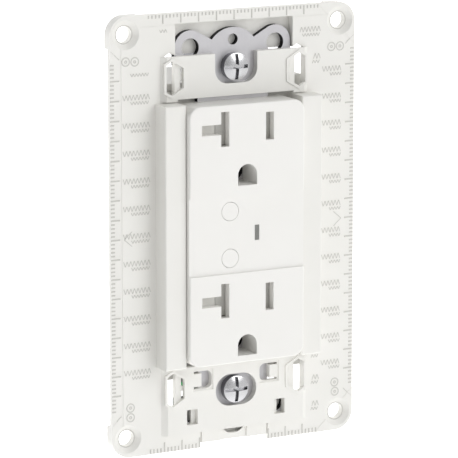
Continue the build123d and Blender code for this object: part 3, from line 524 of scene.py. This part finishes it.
# Safety shutters and their guides: moulded acetal, slightly waxy, seen at the bottom of the blade
# slots. Their grey is painted shade for the dimness at the bottom of the slots. Its grain is drawn
# at 0.4 mm, coarser than real.
slot_shaded_acetal = moulded_plastic(
    "moulded_acetal_painted_slot_shade", "#BDBCB7", "#B3B2AD", 1.48, roughness=0.38, grain_mm=0.4, depth_mm=0.006
)
dress(slot_shaded_acetal, "shutter_upper", "shutter_lower", "shutter_guide_upper", "shutter_guide_lower")

# Arm shutters: the two small flaps at the bottom of the sideways slots, moulded in the same acetal
# and just as waxy. They are painted a paler grey than the others, less painted shade, for the
# lighter floor of the sideways slots.
lightly_shaded_acetal = moulded_plastic(
    "moulded_acetal_lighter_painted_shade",
    "#DEDDD8",
    "#D4D3CE",
    1.48,
    roughness=0.38,
    grain_mm=0.4,
    depth_mm=0.006,
)
dress(lightly_shaded_acetal, "arm_shutter_upper", "arm_shutter_lower")

# Springs: coiled stainless wire, and thin strip folded to a zigzag behind the slot
# shutters. Bright, with fine die lines along it, drawn at 0.2 mm so that they show.
spring_wire = plated_metal(
    "drawn_spring_wire",
    "#C4C4C3",
    "#ABABAA",
    roughness=0.28,
    streak_mm=0.2,
    stretch=(1.0, 0.3, 1.0),
    depth_mm=0.002,
)
dress(
    spring_wire,
    "test_button_spring",
    "reset_button_spring",
    "shutter_spring_upper",
    "shutter_spring_lower",
    "plunger_spring",
)

# Contacts and hot terminals: spring-temper brass strip, stamped and folded. It
# has a warm yellow shine with darker tarnish, and rolling lines drawn at 0.3 mm.
stamped_brass = plated_metal(
    "stamped_spring_brass",
    "#D8B468",
    "#B8934A",
    roughness=0.3,
    streak_mm=0.3,
    stretch=(1.0, 1.0, 0.1),
    depth_mm=0.003,
)
dress(
    stamped_brass,
    "hot_contact_strip",
    "neutral_contact_strip",
    "hot_terminal_plates",
    "neutral_terminal_plates",
    "hot_clamp_plates",
    "hot_terminal_screws",
    "moving_contacts",
    "fixed_contacts",
)

# Neutral clamps and screws, and the ground clips: the same brass with nickel
# plating, a warm silver that shows soft reflections.
nickel_plate = plated_metal(
    "nickel_plated_brass",
    "#D6D2C6",
    "#C4BFB1",
    roughness=0.25,
    streak_mm=0.3,
    stretch=(1.0, 1.0, 1.0),
    depth_mm=0.002,
)
dress(nickel_plate, "neutral_clamp_plates", "neutral_terminal_screws")
dress(nickel_plate, "ground_contact_upper", "ground_contact_lower")

# Ground screw: zinc-plated steel dyed green, so that it is never taken for a
# live terminal. The dye lies thinner in some places and lets the zinc through.
green_dyed_zinc = plated_metal(
    "green_dyed_zinc",
    "#3E9A5C",
    "#23713F",
    roughness=0.32,
    streak_mm=0.3,
    stretch=(1.0, 1.0, 1.0),
    depth_mm=0.002,
)
dress(green_dyed_zinc, "ground_screw")

# Contact carrier: white glass-filled polyester, dry and matt, which shows pale in
# the gap above the face. Its 0.2 mm fibres just mark the skin.
white_polyester = moulded_plastic(
    "white_glass_filled_polyester",
    "#E4E3DF",
    "#DAD9D5",
    1.57,
    roughness=0.5,
    grain_mm=0.2,
    depth_mm=0.01,
)
dress(white_polyester, "contact_carrier")

# Sensor shell, coil bobbin and latch: black glass-filled nylon, matt, with glass
# fibres of 0.2 mm just showing at the skin.
glass_nylon = moulded_plastic(
    "black_glass_filled_nylon",
    "#2A2A2C",
    "#1E1E20",
    1.53,
    roughness=0.55,
    grain_mm=0.2,
    depth_mm=0.012,
)
dress(glass_nylon, "sensor_shell", "solenoid_bobbin", "latch_block")

# Rear housing: compression-moulded thermoset in light grey, closed by four long
# screws. It has a dry, even surface with a 0.3 mm grain, coarser than real.
grey_thermoset = moulded_plastic(
    "light_grey_thermoset", "#D6D5D1", "#C9C8C4", 1.6, roughness=0.5, grain_mm=0.3, depth_mm=0.01
)
dress(grey_thermoset, "rear_housing")


# Circuit board: woven glass cloth in epoxy under a green solder mask. The cloth's
# 0.5 mm threads show through the mask as a faint square weave.
def glass_epoxy():
    finish, tree, place = new_finish("solder_masked_glass_epoxy")
    thread_mm = 0.5
    weave = []
    for way in ("X", "Z"):
        threads = add_node(
            tree,
            "ShaderNodeTexWave",
            {"bands_direction": way, "Scale": 1 / (2 * thread_mm * MM), "Distortion": 0.4},
            {"Vector": place},
        )
        weave.append(threads.outputs["Fac"])
    cloth = add_node(tree, "ShaderNodeMath", {"operation": "MULTIPLY"}, dict(enumerate(weave)))
    colour = add_node(
        tree,
        "ShaderNodeMix",
        {"data_type": "RGBA", 6: linear("#17532F"), 7: linear("#216A3D")},
        {0: cloth.outputs[0]},
    )
    relief = add_node(
        tree, "ShaderNodeBump", {"Distance": 0.01 * MM}, {"Height": cloth.outputs[0]}
    )
    skin = add_node(
        tree,
        "ShaderNodeBsdfPrincipled",
        {"IOR": 1.55, "Roughness": 0.3},
        {"Base Color": colour.outputs[2], "Normal": relief.outputs["Normal"]},
    )
    add_node(tree, "ShaderNodeOutputMaterial", None, {"Surface": skin.outputs[0]})
    return finish


dress(glass_epoxy(), "circuit_board")

# Components on the board: epoxy-moulded chip and thyristor and a sleeved
# capacitor in near black, a dipped blue surge absorber, and ferrite sensor rings.
black_epoxy = moulded_plastic(
    "black_moulded_epoxy", "#242426", "#1A1A1C", 1.55, roughness=0.45, grain_mm=0.25, depth_mm=0.01
)
dress(black_epoxy, "filter_capacitor", "control_chip", "thyristor")
blue_epoxy = moulded_plastic(
    "dipped_blue_epoxy", "#2C4F9E", "#1F3C80", 1.55, roughness=0.25, grain_mm=1.2, depth_mm=0.02
)
dress(blue_epoxy, "surge_absorber")
sintered_ferrite = moulded_plastic(
    "sintered_ferrite", "#3A393B", "#2B2A2C", 1.8, roughness=0.6, grain_mm=0.15, depth_mm=0.02
)
dress(sintered_ferrite, "sensor_rings")


# Coil winding: enamelled copper wire wound in level layers. The real wire is
# 0.1 mm; its turns are drawn 0.4 mm apart so that they show.
def wound_copper():
    finish, tree, place = new_finish("enamelled_copper_winding")
    turn_mm = 0.4
    turns = add_node(
        tree,
        "ShaderNodeTexWave",
        {"bands_direction": "Z", "Scale": 1 / (2 * turn_mm * MM), "Distortion": 0.3},
        {"Vector": place},
    )
    # The colour follows the bump: darker in the hollows between turns and lighter on their crests,
    # painted shade and highlight.
    colour = add_node(
        tree,
        "ShaderNodeMix",
        {"data_type": "RGBA", 6: linear("#6E2F16"), 7: linear("#C4713A")},
        {0: turns.outputs["Fac"]},
    )
    relief = add_node(
        tree, "ShaderNodeBump", {"Distance": 0.12 * MM}, {"Height": turns.outputs["Fac"]}
    )
    skin = add_node(
        tree,
        "ShaderNodeBsdfPrincipled",
        {"Metallic": 0.8, "Roughness": 0.32, "Coat Weight": 0.4},
        {"Base Color": colour.outputs[2], "Normal": relief.outputs["Normal"]},
    )
    add_node(tree, "ShaderNodeOutputMaterial", None, {"Surface": skin.outputs[0]})
    return finish


dress(wound_copper(), "solenoid_winding")


# Stage: a seamless pale sweep, floor and backdrop in one sheet, well clear of the outlet so that
# it throws no shadow on it. The sheet itself glows, painted light that is brightest in a pool
# behind the outlet and lights it from there.
SWEEP_DROP = 0.35
SWEEP_BEHIND = 1.6
SWEEP_HALF_WIDTH = 4.0
SWEEP_FRONT = -4.0
SWEEP_TOP = 4.0
SWEEP_BEND = 0.8
BEND_STEPS = 12
POOL_CENTRE = (-0.7, 1.6, -0.36)
POOL_RADIUS = 1.8
POOL_FADE = 1.3
POOL_BRIGHT = 0.8
POOL_DIM = 0.25


def seamless_sweep():
    floor_z = plate_low.z - SWEEP_DROP
    profile = [(SWEEP_FRONT, floor_z)]
    for step in range(BEND_STEPS + 1):
        angle = math.radians(90 * step / BEND_STEPS)
        y = SWEEP_BEHIND - SWEEP_BEND + SWEEP_BEND * math.sin(angle)
        z = floor_z + SWEEP_BEND - SWEEP_BEND * math.cos(angle)
        profile.append((y, z))
    profile.append((SWEEP_BEHIND, SWEEP_TOP))
    points = []
    faces = []
    for y, z in profile:
        points += [(-SWEEP_HALF_WIDTH, y, z), (SWEEP_HALF_WIDTH, y, z)]
    for step in range(len(profile) - 1):
        a = 2 * step
        faces.append((a, a + 1, a + 3, a + 2))
    mesh = bpy.data.meshes.new("seamless_sweep")
    mesh.from_pydata(points, [], faces)
    for face in mesh.polygons:
        face.use_smooth = True
    finish, tree, place = new_finish("studio_paper_painted_glow")
    fibre = add_node(tree, "ShaderNodeTexNoise", {"Scale": 300.0}, {"Vector": place})
    colour = add_node(
        tree,
        "ShaderNodeMix",
        {"data_type": "RGBA", 6: linear("#FFFFFF"), 7: linear("#FCFCFC")},
        {0: fibre.outputs["Fac"]},
    )
    # Painted glow: the paper's emission is bright inside the pool and dim outside it.
    reach = add_node(
        tree,
        "ShaderNodeVectorMath",
        {"operation": "DISTANCE", 1: POOL_CENTRE},
        {0: place},
    )
    pool = add_node(
        tree,
        "ShaderNodeMapRange",
        {
            "From Min": POOL_RADIUS,
            "From Max": POOL_FADE * POOL_RADIUS,
            "To Min": POOL_BRIGHT,
            "To Max": POOL_DIM,
        },
        {"Value": reach.outputs["Value"]},
    )
    skin = add_node(
        tree,
        "ShaderNodeBsdfPrincipled",
        {"Roughness": 0.9, "Emission Color": linear("#FFFFFF")},
        {"Base Color": colour.outputs[2], "Emission Strength": pool.outputs["Result"]},
    )
    add_node(tree, "ShaderNodeOutputMaterial", None, {"Surface": skin.outputs[0]})
    mesh.materials.append(finish)
    sweep = bpy.data.objects.new("seamless_sweep", mesh)
    bpy.context.scene.collection.objects.link(sweep)


seamless_sweep()

# Lights: one large soft box from the front, above and to the right, in a pale room
# that is darker on the left, so that sides facing left fall into shade.
ROOM_DARK_SIDE = 0.08
ROOM_LIGHT_SIDE = 0.76
KEY_PLACE = Vector((0.75, -1.2, 0.8))
KEY_SIZE = 1.0
KEY_POWER = 7.4
key_light = bpy.data.lights.new("key_soft_box", "AREA")
key_light.shape = "SQUARE"
key_light.size = KEY_SIZE
key_light.energy = KEY_POWER
key_lamp = bpy.data.objects.new("key_soft_box", key_light)
key_lamp.location = KEY_PLACE
plate_centre = Vector(((plate_low.x + plate_high.x) / 2, 0.0, 0.0))
key_lamp.rotation_euler = (plate_centre - KEY_PLACE).to_track_quat("-Z", "Y").to_euler()
bpy.context.scene.collection.objects.link(key_lamp)
room = bpy.data.worlds.new("pale_room")
room.use_nodes = True
way = add_node(room.node_tree, "ShaderNodeTexCoord")
across = add_node(
    room.node_tree, "ShaderNodeSeparateXYZ", None, {"Vector": way.outputs["Generated"]}
)
brightness = add_node(
    room.node_tree,
    "ShaderNodeMapRange",
    {"From Min": -1.0, "From Max": 0.5, "To Min": ROOM_DARK_SIDE, "To Max": ROOM_LIGHT_SIDE},
    {"Value": across.outputs["X"]},
)
sky = room.node_tree.nodes["Background"]
sky.inputs["Color"].default_value = linear("#FFFFFF")
room.node_tree.links.new(brightness.outputs["Result"], sky.inputs["Strength"])
bpy.context.scene.world = room
bpy.context.scene.view_settings.view_transform = "Standard"

# Camera: a long lens about 0.83 m in front of the outlet, to its left and a little
# above, so that the upright edges run almost parallel.
camera_data = bpy.data.cameras.new("camera")
camera_data.lens = 256.8
camera_data.sensor_width = 36.0
camera_data.clip_end = 20.0
camera = bpy.data.objects.new("camera", camera_data)
camera.location = (-0.38110, -0.72177, 0.15995)
look = Vector((0.4582, 0.8677, -0.1930))
camera.rotation_euler = look.to_track_quat("-Z", "Y").to_euler()
bpy.context.scene.collection.objects.link(camera)
bpy.context.scene.camera = camera
